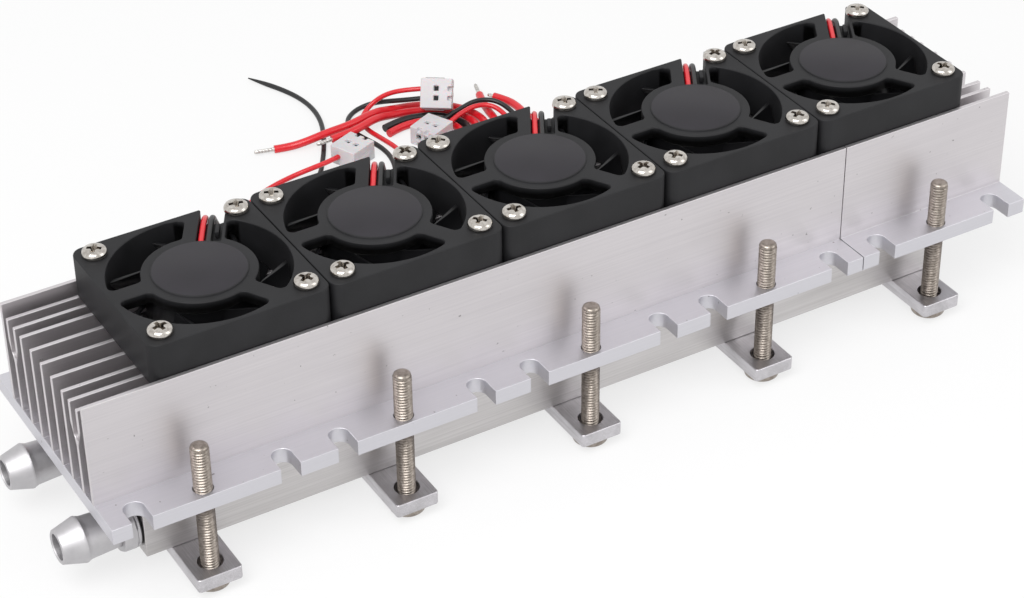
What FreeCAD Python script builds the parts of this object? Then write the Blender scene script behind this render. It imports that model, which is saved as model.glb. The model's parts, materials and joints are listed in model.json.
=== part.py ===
import FreeCAD, Part
import math
import os
from FreeCAD import Vector

os.makedirs("parts", exist_ok=True)

# Heat sinks: one extruded section, cut to a long and a short piece that butt together
long_sink_length = 182.5
short_sink_length = 46.0
sink_seam = 0.2
sink_width = 60.0
base_thickness = 3.6
fin_height = 21.8
fin_thickness = 1.0
fin_pitch = 5.3
fin_count = 5
wall_rise = 2.2
wall_thickness = 1.0
fork_gap = 2.7
fork_depth = 8.5
fork_taper = 3.6
modules_in_long_sink = 4

# Open notches along both flanges, two for each module of the heat sink
notch_width = 4.4
notch_wall_distance = 2.55
notch_spacing = 32.6

# Cooling elements
element_size = 40.0
element_gap = 0.3
element_thickness = 3.3
element_count = 5
ceramic_thickness = 0.75
sealant_inset = 0.8

# Water block
block_width = 39.0
block_height = 12.0
block_inset = 10.4
block_far_inset = 18.1
gallery_diameter = 7.0
port_spacing = 28.0
port_depth = 9.0

# Hose barbs, turned in one piece
barb_reach = 6.4
barb_bore = 5.8
barb_tip_diameter = 7.4
barb_crest_diameter = 10.0
barb_body_diameter = 9.2
barb_cone_length = 4.7
barb_land = 0.5
barb_back_slope = 0.9
barb_shank_diameter = 8.0
barb_shank_length = 7.0
barb_collar_diameter = 11.4
barb_collar_length = 3.0
barb_collar_across_flats = 10.6
seal_section = 1.2
seal_clearance = 0.05
thread_clearance = 0.1

# Clamp bars and their bolts
bar_width = 10.0
bar_end_distance = 5.0
bar_thickness = 3.2
bar_hole_diameter = 5.4
bar_end_radius = 0.8
bolt_diameter = 4.0
bolt_length = 33.0
bolt_edge_distance = 3.0
bolt_head_diameter = 8.0
bolt_head_height = 2.5
bolt_head_round = 0.8
bolt_tip_chamfer = 0.6
long_clamp_shift = -1.8
short_clamp_shift = -0.4

# Fans
fan_count = 5
fan_size = 40.0
fan_thickness = 10.0
fan_pitch = 40.2
fan_row_start = 15.7
fan_side_clearance = 0.15
fan_corner_radius = 2.6
fan_duct_diameter = 38.0
fan_hole_spacing = 32.0
fan_hole_diameter = 3.4
web_thickness = 2.6
motor_plate_diameter = 24.0
label_diameter = 20.0
label_height = 0.25
strut_width = 4.2
strut_corner_radius = 1.3
cable_strut_left = 4.6
cable_strut_right = 4.2
cable_strut_angle = 60.0
channel_width = 5.2
channel_offset = 0.9
channel_depth = 2.0
channel_start = 10.3
channel_exit_depth = 4.8
channel_exit_wall = 0.8
bearing_tube_diameter = 5.2
bearing_tube_length = 5.0

# Impellers
blade_count = 7
hub_diameter = 23.0
hub_wall = 1.0
hub_floor = 1.0
hub_bottom_gap = 0.6
hub_top_gap = 0.4
blade_tip_gap = 0.6
blade_edge_margin = 0.3
blade_thickness = 0.8
blade_root_pitch = 48.0
blade_tip_pitch = 34.0
blade_sweep = 34.0
blade_camber = 0.9
shaft_diameter = 2.0
shaft_end_gap = 0.2
bearing_outer_diameter = 3.8
running_clearance = 0.03
bearing_fit = 0.02

# Motors
pole_count = 4
stator_diameter = 18.0
stator_height = 3.0
core_diameter = 8.0
pole_width = 2.6
shoe_thickness = 1.2
shoe_angle = 66.0
coil_width = 4.6
coil_board_gap = 0.6
board_diameter = 19.6
board_thickness = 0.8

# Fan screws
screw_diameter = 2.6
screw_length = 16.0
screw_head_diameter = 5.4
screw_head_height = 1.7

# Leads and plugs
fan_lead_diameter = 1.3
red_lead_across = 0.8
black_lead_across = 0.75
lead_floor_gap = 0.15
lead_bulge_reach = 15.8
lead_bulge = 0.3
lead_dive_reach = 21.4
lead_dive_run = 3.2
lead_dive_drop = 3.2
element_lead_diameter = 2.1
element_lead_offset = 16.0
middle_lead_offset = 8.0
bare_wire_diameter = 1.1
long_bare_tip = 5.2
bare_tip = 4.2
short_bare_tip = 1.8
plug_width = 7.8
plug_thickness = 5.2
plug_length = 8.2
plug_pitch = 2.5
plug_way_size = 1.5
plug_way_depth = 6.0
plug_window_size = 1.3
plug_window_depth = 0.7
plug_notch_depth = 1.1
plug_rib_width = 1.2
plug_rib_height = 0.4
plug_rib_setback = 1.0

# Places that follow from the sizes: x runs along the heat sinks, z = 0 is the surface it stands on
sinks_length = long_sink_length + short_sink_length
sink_left = (barb_reach - sinks_length) / 2
seam_x = sink_left + long_sink_length
bar_bottom = bolt_head_height
block_bottom = bar_bottom + bar_thickness
element_bottom = block_bottom + block_height
base_bottom = element_bottom + element_thickness
flange_top = base_bottom + base_thickness
fin_top = flange_top + fin_height
wall_top = fin_top + wall_rise
fan_top = fin_top + fan_thickness
wall_inner_y = fan_size / 2 + fan_side_clearance
notch_depth = sink_width / 2 - wall_inner_y - wall_thickness - notch_wall_distance
bolt_spacing_y = sink_width - 2 * bolt_edge_distance
bar_length = bolt_spacing_y + 2 * bar_end_distance
block_left = sink_left + block_inset
block_length = sinks_length - block_inset - block_far_inset
module_length = long_sink_length / modules_in_long_sink
port_z = block_bottom + block_height / 2
fan_centres = [sink_left + fan_row_start + fan_size / 2 + k * fan_pitch for k in range(fan_count)]
long_module_centres = [sink_left + (k + 0.5) * module_length for k in range(modules_in_long_sink)]
short_module_centre = seam_x + short_sink_length / 2
clamp_centres = [x + long_clamp_shift for x in long_module_centres]
clamp_centres.append(short_module_centre + short_clamp_shift)
element_pitch = block_length / element_count
element_centres = [block_left + (k + 0.5) * element_pitch for k in range(element_count)]


def box(low, high):
    return Part.makeBox(high[0] - low[0], high[1] - low[1], high[2] - low[2], Vector(*low))


def upright_cylinder(x, y, z_low, z_high, diameter):
    return Part.makeCylinder(diameter / 2, z_high - z_low, Vector(x, y, z_low), Vector(0, 0, 1))


def ring(outer, inner, z_low, z_high):
    return upright_cylinder(0, 0, z_low, z_high, outer).cut(upright_cylinder(0, 0, z_low, z_high, inner))


def line(a, b):
    return Part.LineSegment(a, b).toShape()


def chain(points):
    return [line(a, b) for a, b in zip(points, points[1:])]


def turned(profile, axis_point, axis):
    face = Part.Face(Part.makePolygon(profile + [profile[0]]))
    return face.revolve(axis_point, axis, 360)


def moved(shape, x, y, z):
    copy = shape.copy()
    copy.translate(Vector(x, y, z))
    return copy


def save(shape, node):
    shape.exportStep("parts/" + node + ".step")


# Heat sink section, drawn in the plane across the sink and pulled along its length


def plain_fin(y, thickness, top):
    left = y - thickness / 2
    right = y + thickness / 2
    points = [(left, flange_top), (left, top), (right, top), (right, flange_top)]
    return [Vector(0, *p) for p in points]


def screw_fork(y):
    half_stem = fin_thickness / 2
    inner = fork_gap / 2
    outer = inner + fin_thickness
    floor_z = fin_top - fork_depth + inner
    spread_z = floor_z + fork_taper / 2
    stem_z = spread_z - fork_taper - fin_thickness
    stem = [(-half_stem, flange_top), (-half_stem, stem_z)]
    rise = stem + [(-outer, spread_z), (-outer, fin_top), (-inner, fin_top)]
    left = [Vector(0, y + p[0], p[1]) for p in rise]
    right = [Vector(0, y - p[0], p[1]) for p in reversed(rise)]
    start = Vector(0, y - inner, floor_z)
    end = Vector(0, y + inner, floor_z)
    channel = Part.Arc(start, Vector(0, y, floor_z - inner), end).toShape()
    return chain(left + [start]) + [channel] + chain([end] + right)


def sink_section():
    half = sink_width / 2
    wall_y = wall_inner_y + wall_thickness / 2
    fork_y = fan_hole_spacing / 2
    fins = [(k - (fin_count - 1) / 2) * fin_pitch for k in range(fin_count)]
    runs = [chain(plain_fin(-wall_y, wall_thickness, wall_top)), screw_fork(-fork_y)]
    runs += [chain(plain_fin(y, fin_thickness, fin_top)) for y in fins]
    runs += [screw_fork(fork_y), chain(plain_fin(wall_y, wall_thickness, wall_top))]
    edges = [line(Vector(0, -half, base_bottom), Vector(0, -half, flange_top))]
    last = Vector(0, -half, flange_top)
    for run in runs:
        edges.append(line(last, run[0].Vertexes[0].Point))
        edges += run
        last = run[-1].Vertexes[-1].Point
    corner = Vector(0, half, flange_top)
    edges += chain([last, corner, Vector(0, half, base_bottom), Vector(0, -half, base_bottom)])
    return Part.Face(Part.Wire(edges))


def notch(x, side):
    edge_y = side * sink_width / 2
    inner_y = side * (sink_width / 2 - notch_depth + notch_width / 2)
    low_y, high_y = sorted((inner_y, edge_y))
    half = notch_width / 2
    slot = box((x - half, low_y, base_bottom), (x + half, high_y, flange_top))
    return slot.fuse(upright_cylinder(x, inner_y, base_bottom, flange_top, notch_width))


def heat_sink(x_low, x_high, module_centres, bolt_centres):
    body = sink_section().extrude(Vector(x_high - x_low, 0, 0))
    body.translate(Vector(x_low, 0, 0))
    cuts = []
    for side in (-1, 1):
        for centre in module_centres:
            cuts += [notch(centre - notch_spacing / 2, side), notch(centre + notch_spacing / 2, side)]
        for x in bolt_centres:
            y = side * bolt_spacing_y / 2
            cuts.append(upright_cylinder(x, y, base_bottom, flange_top, bolt_diameter + 2 * thread_clearance))
    return body.cut(cuts)


save(heat_sink(sink_left, seam_x - sink_seam / 2, long_module_centres, clamp_centres[:-1]), "heat_sink_long")
short_start = seam_x + sink_seam / 2
short_end = sink_left + sinks_length
save(heat_sink(short_start, short_end, [short_module_centre], clamp_centres[-1:]), "heat_sink_short")


# Cooling element: two ceramic plates, with the sealed pellets set back between them


def cooling_element(x):
    half = (element_pitch - element_gap) / 2
    deep = element_size / 2
    top = base_bottom
    plates = [
        box((x - half, -deep, element_bottom), (x + half, deep, element_bottom + ceramic_thickness)),
        box((x - half, -deep, top - ceramic_thickness), (x + half, deep, top)),
    ]
    core_x = half - sealant_inset
    core_y = deep - sealant_inset
    core = box((x - core_x, -core_y, element_bottom), (x + core_x, core_y, top))
    return core.fuse(plates).removeSplitter()


for number, x in enumerate(element_centres, 1):
    save(cooling_element(x), "cooling_element_%d" % number)


# Water block with two galleries that join at its far end, and the ports that the barbs screw into


def along_x(x_low, x_high, y, z, diameter):
    return Part.makeCylinder(diameter / 2, x_high - x_low, Vector(x_low, y, z), Vector(1, 0, 0))


def water_block():
    half = block_width / 2
    body = box((block_left, -half, block_bottom), (block_left + block_length, half, element_bottom))
    gallery_end = block_left + block_length - gallery_diameter
    port_y = port_spacing / 2
    port = barb_shank_diameter + 2 * thread_clearance
    cross_start = Vector(gallery_end, -port_y, port_z)
    cuts = [Part.makeCylinder(gallery_diameter / 2, port_spacing, cross_start, Vector(0, 1, 0))]
    for y in (-port_y, port_y):
        cuts.append(along_x(block_left, gallery_end, y, port_z, gallery_diameter))
        cuts.append(along_x(block_left, block_left + port_depth, y, port_z, port))
    return body.cut(cuts)


save(water_block(), "water_block")


# Hose barb: cone, crest, body, six-sided collar and shank, bored through


def hose_barb(y):
    tip = sink_left - barb_reach
    collar_end = block_left - seal_section
    collar_start = collar_end - barb_collar_length
    bore = barb_bore / 2
    steps = [
        (tip, barb_tip_diameter),
        (tip + barb_cone_length, barb_crest_diameter),
        (tip + barb_cone_length + barb_land, barb_crest_diameter),
        (tip + barb_cone_length + barb_land + barb_back_slope, barb_body_diameter),
        (collar_start, barb_body_diameter),
        (collar_start, barb_shank_diameter),
        (block_left + barb_shank_length, barb_shank_diameter),
    ]
    rim = [Vector(x, y, port_z + diameter / 2) for x, diameter in steps]
    ends = [Vector(block_left + barb_shank_length, y, port_z + bore), Vector(tip, y, port_z + bore)]
    body = turned(rim + ends, Vector(0, y, port_z), Vector(1, 0, 0))
    flats = Part.makePolygon([
        Vector(
            collar_start,
            y + barb_collar_across_flats / math.sqrt(3) * math.cos(math.radians(60 * k)),
            port_z + barb_collar_across_flats / math.sqrt(3) * math.sin(math.radians(60 * k)),
        )
        for k in range(7)
    ])
    hexagon = Part.Face(flats).extrude(Vector(barb_collar_length, 0, 0))
    round_blank = along_x(collar_start, collar_end, y, port_z, barb_collar_diameter)
    collar = hexagon.common(round_blank).cut(along_x(collar_start, collar_end, y, port_z, barb_bore))
    return body.fuse(collar).removeSplitter()


def barb_seal(y):
    section_radius = seal_section / 2
    middle = (barb_shank_diameter + seal_section) / 2 + seal_clearance
    centre = Vector(block_left - section_radius, y, port_z)
    return Part.makeTorus(middle, section_radius, centre, Vector(1, 0, 0))


for name, y in (("front", -port_spacing / 2), ("rear", port_spacing / 2)):
    save(hose_barb(y), "hose_barb_" + name)
    save(barb_seal(y), "barb_seal_" + name)


# Clamp bars across the underside of the block, drawn up by bolts from below


def clamp_bar(x):
    half = bar_length / 2
    bar = box((x - bar_width / 2, -half, bar_bottom), (x + bar_width / 2, half, block_bottom))
    upright = [e for e in bar.Edges if abs(e.Vertexes[0].Z - e.Vertexes[1].Z) > bar_thickness / 2]
    bar = bar.makeFillet(bar_end_radius, upright)
    holes = [
        upright_cylinder(x, side * bolt_spacing_y / 2, bar_bottom, block_bottom, bar_hole_diameter)
        for side in (-1, 1)
    ]
    return bar.cut(holes)


def clamp_bolt(x, y):
    head = bolt_head_diameter / 2
    shank = bolt_diameter / 2
    tip = bar_bottom + bolt_length
    profile = [
        (0, 0),
        (head - bolt_head_round, 0),
        (head, bolt_head_round),
        (head, bar_bottom),
        (shank, bar_bottom),
        (shank, tip - bolt_tip_chamfer),
        (shank - bolt_tip_chamfer, tip),
        (0, tip),
    ]
    return turned([Vector(x + r, y, z) for r, z in profile], Vector(x, y, 0), Vector(0, 0, 1))


for number, x in enumerate(clamp_centres, 1):
    save(clamp_bar(x), "clamp_bar_%d" % number)
bolts = [clamp_bolt(x, side * bolt_spacing_y / 2) for x in clamp_centres for side in (-1, 1)]
save(Part.makeCompound(bolts), "clamp_bolts")


# Fan frame: square housing with a round duct, the motor plate and its three struts across the top

web_bottom = fan_thickness - web_thickness
duct_radius = fan_duct_diameter / 2
plate_radius = motor_plate_diameter / 2


def strut(angle, left, right):
    bar = box((0, -right, web_bottom), (duct_radius, left, fan_thickness))
    bar.rotate(Vector(0, 0, 0), Vector(0, 0, 1), angle)
    return bar


def web_openings():
    crescents = ring(fan_duct_diameter, motor_plate_diameter, web_bottom, fan_thickness)
    crescents = crescents.cut([
        strut(cable_strut_angle, cable_strut_left, cable_strut_right),
        strut(cable_strut_angle + 120, strut_width / 2, strut_width / 2),
        strut(cable_strut_angle + 240, strut_width / 2, strut_width / 2),
    ])
    rounded = []
    for solid in crescents.Solids:
        straight = [e for e in solid.Edges if len(e.Vertexes) == 2]
        upright = [e for e in straight if abs(e.Vertexes[0].Z - e.Vertexes[1].Z) > web_thickness / 2]
        rounded.append(solid.makeFillet(strut_corner_radius, upright))
    return rounded


def cable_channel():
    low = channel_offset + channel_width / 2
    top = fan_thickness + label_height
    exit_start = duct_radius + channel_exit_wall
    channel = box((channel_start, -low, fan_thickness - channel_depth), (fan_size, channel_width - low, top))
    exit_floor = fan_thickness - channel_exit_depth
    way_out = box((exit_start, -low, exit_floor), (fan_size, channel_width - low, top))
    channel = channel.fuse(way_out)
    channel.rotate(Vector(0, 0, 0), Vector(0, 0, 1), cable_strut_angle)
    return channel


def fan_frame():
    half = fan_size / 2
    housing = box((-half, -half, 0), (half, half, fan_thickness))
    upright = [e for e in housing.Edges if abs(e.Vertexes[0].Z - e.Vertexes[1].Z) > fan_thickness / 2]
    housing = housing.makeFillet(fan_corner_radius, upright)
    duct = upright_cylinder(0, 0, 0, web_bottom, fan_duct_diameter)
    corner = fan_hole_spacing / 2
    holes = [
        upright_cylinder(x, y, 0, fan_thickness, fan_hole_diameter)
        for x in (-corner, corner)
        for y in (-corner, corner)
    ]
    frame = housing.cut([duct] + web_openings() + holes)
    tube_bore = bearing_outer_diameter + 2 * bearing_fit
    tube = ring(bearing_tube_diameter, tube_bore, web_bottom - bearing_tube_length, web_bottom)
    label = upright_cylinder(0, 0, fan_thickness, fan_thickness + label_height, label_diameter)
    return frame.fuse([tube, label]).cut(cable_channel()).removeSplitter()


# Sleeve bearing, pressed in the tube under the motor plate


def fan_bearing():
    bore = shaft_diameter + 2 * running_clearance
    return ring(bearing_outer_diameter, bore, web_bottom - bearing_tube_length, web_bottom - shaft_end_gap)


# Impeller: cup with its shaft, and swept blades round it

hub_top = web_bottom - hub_top_gap
blade_bottom = hub_bottom_gap + blade_edge_margin
blade_top = hub_top - blade_edge_margin


def blade_section(radius, pitch, turn):
    height = blade_top - blade_bottom
    reach = height / math.tan(math.radians(pitch)) / 2
    middle_z = (blade_top + blade_bottom) / 2
    across = blade_thickness / 2 / math.sin(math.radians(pitch))
    slope = Vector(0, math.sin(math.radians(pitch)), -math.cos(math.radians(pitch))) * blade_camber

    def side(shift):
        low = Vector(radius, -reach + shift, blade_bottom)
        high = Vector(radius, reach + shift, blade_top)
        middle = Vector(radius, shift, middle_z) + slope
        return Part.Arc(low, middle, high).toShape(), low, high

    left, left_low, left_high = side(-across)
    right, right_low, right_high = side(across)
    outline = Part.Wire([left, line(left_high, right_high), right, line(right_low, left_low)])
    outline.rotate(Vector(0, 0, 0), Vector(0, 0, 1), turn)
    return outline


def impeller():
    hub_radius = hub_diameter / 2
    tip_radius = duct_radius - blade_tip_gap
    inner = hub_diameter - 2 * hub_wall
    cup = upright_cylinder(0, 0, hub_bottom_gap, hub_top, hub_diameter)
    cup = cup.cut(upright_cylinder(0, 0, hub_bottom_gap + hub_floor, hub_top, inner))
    shaft = upright_cylinder(0, 0, hub_bottom_gap, web_bottom - shaft_end_gap, shaft_diameter)
    root_radius = hub_radius - hub_wall / 2
    overshoot = tip_radius + blade_tip_gap
    root = blade_section(root_radius, blade_root_pitch, 0)
    tip = blade_section(overshoot, blade_tip_pitch, blade_sweep)
    zone = ring(2 * tip_radius, 2 * root_radius, 0, web_bottom)
    blade = Part.makeLoft([root, tip], True, True).common(zone)
    blades = []
    for k in range(blade_count):
        copy = blade.copy()
        copy.rotate(Vector(0, 0, 0), Vector(0, 0, 1), 360.0 * k / blade_count)
        blades.append(copy)
    return cup.fuse([shaft] + blades)


# Motor: four poles with their coils on a core, and the round board above them


def fan_motor():
    board_top = web_bottom
    board_bottom = board_top - board_thickness
    stack_top = board_bottom - coil_board_gap
    stack_bottom = stack_top - stator_height
    stator_radius = stator_diameter / 2
    tube_hole = bearing_tube_diameter + 2 * bearing_fit
    core = upright_cylinder(0, 0, stack_bottom, board_bottom, core_diameter)
    shoes = ring(stator_diameter, stator_diameter - 2 * shoe_thickness, stack_bottom, stack_top)
    foot = Vector(0, 0, stack_bottom)
    sector = Part.makeCylinder(stator_radius, stator_height, foot, Vector(0, 0, 1), shoe_angle)
    sector.rotate(Vector(0, 0, 0), Vector(0, 0, 1), -shoe_angle / 2)
    shoe = shoes.common(sector)
    arm_end = stator_radius - shoe_thickness / 2
    arm = box((0, -pole_width / 2, stack_bottom), (arm_end, pole_width / 2, stack_top))
    coil_start = core_diameter / 2
    coil_end = stator_radius - shoe_thickness
    coil = box((coil_start, -coil_width / 2, stack_bottom), (coil_end, coil_width / 2, stack_top))
    pole = arm.fuse([shoe, coil])
    poles = []
    for k in range(pole_count):
        copy = pole.copy()
        copy.rotate(Vector(0, 0, 0), Vector(0, 0, 1), 360.0 * k / pole_count)
        poles.append(copy)
    board = upright_cylinder(0, 0, board_bottom, board_top, board_diameter)
    motor = core.fuse(poles + [board])
    return motor.cut(upright_cylinder(0, 0, stack_bottom, board_top, tube_hole)).removeSplitter()


frame_shape = fan_frame()
impeller_shape = impeller()
motor_shape = fan_motor()
bearing_shape = fan_bearing()
for number, x in enumerate(fan_centres, 1):
    save(moved(frame_shape, x, 0, fin_top), "fan_frame_%d" % number)
    save(moved(impeller_shape, x, 0, fin_top), "fan_impeller_%d" % number)
    save(moved(motor_shape, x, 0, fin_top), "fan_motor_%d" % number)
save(Part.makeCompound([moved(bearing_shape, x, 0, fin_top) for x in fan_centres]), "fan_bearings")


# Fan screws, down through the frames into the forks of the heat sink


def fan_screw(x, y):
    head = screw_head_diameter / 2
    shank = screw_diameter / 2
    crown = fan_top + screw_head_height
    rim = fan_top + screw_head_height * 0.5
    foot = fan_top - screw_length
    start = Vector(head, 0, rim)
    end = Vector(head / 2, 0, crown)
    bulge = Vector(head * 0.86, 0, rim + (crown - rim) * 0.72)
    edges = chain([
        Vector(0, 0, foot),
        Vector(shank, 0, foot),
        Vector(shank, 0, fan_top),
        Vector(head, 0, fan_top),
        start,
    ])
    edges.append(Part.Arc(start, bulge, end).toShape())
    edges += chain([end, Vector(0, 0, crown), Vector(0, 0, foot)])
    screw = Part.Face(Part.Wire(edges)).revolve(Vector(0, 0, 0), Vector(0, 0, 1), 360)
    return moved(screw, x, y, 0)


corner = fan_hole_spacing / 2
screws = [fan_screw(x + dx, dy) for x in fan_centres for dx in (-corner, corner) for dy in (-corner, corner)]
save(Part.makeCompound(screws), "fan_screws")


# Plugs: white two-way housings with notched fronts, lock windows on the broad side and a way for each lead


def fan_plug():
    half_width = plug_width / 2
    half_thick = plug_thickness / 2
    body = box((0, -half_width, -half_thick), (plug_length, half_width, half_thick))
    rib = plug_length - plug_notch_depth - plug_rib_setback
    for side in (-1, 1):
        outer = side * (half_width + plug_rib_height)
        low, high = sorted((side * half_width, outer))
        body = body.fuse(box((plug_rib_setback, low, -plug_rib_width / 2), (rib, high, plug_rib_width / 2)))
    cuts = []
    for way in (-1, 1):
        y = way * plug_pitch / 2
        hole = plug_way_size / 2
        middle = plug_length / 2
        window = plug_window_size / 2
        notch_front = plug_length - plug_notch_depth
        cuts.append(box((plug_length - plug_way_depth, y - hole, -hole), (plug_length, y + hole, hole)))
        floor = half_thick - plug_window_depth
        cuts.append(box((middle - window, y - window, floor), (middle + window, y + window, half_thick)))
        for face in (-1, 1):
            low, high = sorted((face * (half_thick - plug_notch_depth), face * half_thick))
            half_notch = plug_notch_depth / 2
            cuts.append(box((notch_front, y - half_notch, low), (plug_length, y + half_notch, high)))
    return body.cut(cuts)


# Where each plug lies: middle of its rear face, heading across the table and roll about its own length
plug_on_table = plug_thickness / 2
plug_places = [
    (7.25, 100.6, plug_on_table, 22, 0),
    (36.51, 111.7, 6.95, -35, 55),
    (36.45, 101.4, plug_on_table, 205, 0),
]


def placed(shape_or_point, place):
    x, y, z, heading, roll = place
    turn = FreeCAD.Rotation(Vector(0, 0, 1), heading).multiply(FreeCAD.Rotation(Vector(1, 0, 0), roll))
    where = FreeCAD.Placement(Vector(x, y, z), turn)
    if isinstance(shape_or_point, Vector):
        return where.multVec(shape_or_point)
    copy = shape_or_point.copy()
    copy.Placement = where
    return copy


plug_shape = fan_plug()
for number, place in enumerate(plug_places, 1):
    save(placed(plug_shape, place), "fan_plug_%d" % number)


# A lead follows straight runs joined by tangent arcs, each as large as its two runs allow


def lead_path(points):
    edges = []
    radii = []
    last = points[0]
    for before, corner, after in zip(points, points[1:], points[2:]):
        into = before - corner
        out = after - corner
        reach = 0.45 * min(into.Length, out.Length)
        half_turn = (math.pi - into.getAngle(out)) / 2
        radii.append(reach / math.tan(half_turn))
        into.normalize()
        out.normalize()
        middle = into + out
        middle.normalize()
        sag = radii[-1] * (1 / math.cos(half_turn) - 1)
        start = corner + into * reach
        end = corner + out * reach
        edges.append(line(last, start))
        edges.append(Part.Arc(start, corner + middle * sag, end).toShape())
        last = end
    edges.append(line(last, points[-1]))
    return Part.Wire(edges), min(radii)


def lead(node, points, diameter, tip_length=0.0):
    path, smallest = lead_path(points)
    direction = points[1] - points[0]
    circle = Part.Wire([Part.makeCircle(diameter / 2, points[0], direction)])
    tube = path.makePipeShell([circle], True, False)
    exact = math.pi * diameter * diameter / 4 * path.Length
    print("%s length %.1f radius %.1f volume ratio %.4f" % (node, path.Length, smallest, tube.Volume / exact))
    if tip_length:
        end = points[-1]
        along = end - points[-2]
        tube = tube.fuse(Part.makeCylinder(bare_wire_diameter / 2, tip_length, end, along))
    save(tube, node)


def on_table(points, diameter):
    return [Vector(p[0], p[1], p[2] if len(p) > 2 else diameter / 2) for p in points]


# Fan leads: out of the hub along the channel, over the back edge and down behind the object


def fan_lead_start(fan_x, across, drop):
    angle = math.radians(cable_strut_angle)
    along = Vector(math.cos(angle), math.sin(angle), 0)
    side = Vector(math.sin(angle), -math.cos(angle), 0)
    floor_z = fan_top - channel_depth
    middle = Vector(fan_x, 0, floor_z + fan_lead_diameter / 2 + lead_floor_gap)
    first = middle + along * channel_start + side * across
    bulge = first + along * (lead_bulge_reach - channel_start) + Vector(0, 0, lead_bulge)
    brink = first + along * (lead_dive_reach - channel_start)
    dive = brink + along * lead_dive_run - Vector(0, 0, lead_dive_drop)
    return [first, bulge, brink, dive] + [Vector(fan_x + x, y, z) for x, y, z in drop]


red_drop = [(13.7, 26.6, 45.6), (15.8, 32, 34.8), (18.2, 39.2, 22.8), (21.3, 46.4, 10.4), (26.2, 55.1, 1.9)]
black_drop = [(16.1, 25.2, 45.3), (18.9, 31, 34.2), (21.6, 37.4, 22.6), (25, 44.6, 10.3), (29.8, 53.1, 1.9)]
red_on_table = [
    [
        (-42.85, 66), (-36.85, 77.5), (-29.35, 88.5), (-20.85, 97.2), (-13.35, 100.6),
        (-6.85, 101, 1.6), (-1.35, 100, 2.9), (2.95, 100.3, 3),
    ],
    [
        (-1.35, 64.5, 1.6), (6.15, 73, 3), (12.15, 78.6, 3), (18.65, 86), (22.25, 93), (23.05, 100),
        (21.85, 106.5), (20.65, 112.3), (21.25, 117), (23.95, 119.9, 1.2), (27.05, 120.3, 3.2),
        (29.85, 118.4, 5.6), (33.1, 115.1, 7.4),
    ],
    [
        (38.85, 63.5), (45.65, 73), (50.25, 82), (52.85, 90.5), (53.65, 97.5, 2.4), (52.05, 102, 3.7),
        (47.85, 103.8, 3.8), (43.45, 102.6, 3.7), (40.05, 101.4, 3.4),
    ],
    [
        (73.05, 66), (72.85, 77), (71.25, 87.4), (72.95, 95.2), (79.45, 98.4), (85.65, 95.8),
        (89.7, 90.5),
    ],
    [
        (113.25, 67.5), (111.15, 78), (106.05, 86), (99.65, 90.5),
    ],
]
black_on_table = [
    [
        (-38.35, 63.5), (-32.35, 74), (-25.35, 84), (-17.85, 92), (-10.35, 95.8), (-4.35, 96.6),
        (-0.15, 98.8), (2.85, 103.4), (6.05, 108.6), (9.65, 115.5), (12.45, 122.5), (13.65, 129.5),
        (13.05, 136.5), (10.95, 142.8), (8.45, 148), (6.15, 152.6),
    ],
    [
        (1.15, 62.5), (6.45, 72.5), (11.65, 81.5), (16.85, 89.5), (19.65, 97), (19.65, 103.5),
        (17.85, 109.5), (16.85, 115), (18.55, 119.8), (22.85, 122.9), (27.45, 122.3, 1.6),
        (30.45, 118.4, 3.2), (32.75, 114.2, 4.9),
    ],
    [
        (42.65, 61), (49.45, 71), (53.85, 80.8), (55.85, 90), (56.15, 97.6, 2.2), (54.25, 103.6, 3.7),
        (49.45, 106.1, 3.8), (44.05, 104.7, 3.5), (39.95, 103.6, 3.4),
    ],
    [
        (77.65, 64), (78.85, 75), (78.25, 85), (81.65, 91),
    ],
    [
        (117.05, 65), (116.25, 76), (111.45, 85.6), (104.65, 92.6), (96.95, 95.6),
    ],
]


def plug_way(number, way):
    return [placed(Vector(0, way * plug_pitch / 2, 0), plug_places[number])]


red_ends = [plug_way(0, 1), plug_way(1, 1), plug_way(2, 1), [], []]
black_ends = [[], plug_way(1, -1), plug_way(2, -1), [], []]
for index, x in enumerate(fan_centres):
    for colour, across, drop, routes, ends in (
        ("red", -red_lead_across, red_drop, red_on_table, red_ends),
        ("black", black_lead_across, black_drop, black_on_table, black_ends),
    ):
        start = fan_lead_start(x, across, drop)
        rest = on_table(routes[index], fan_lead_diameter) + ends[index]
        lead("fan_lead_%s_%d" % (colour, index + 1), start + rest, fan_lead_diameter)


# Element leads: out under the flange, down to the table and round behind the fans


def element_lead(node, element, across, drop, route, tip_length):
    z = (element_bottom + base_bottom) / 2
    start = Vector(element_centres[element] + across, element_size / 2, z)
    points = [start] + [Vector(*p) for p in drop] + on_table(route, element_lead_diameter)
    lead(node, points, element_lead_diameter, tip_length)


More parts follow.
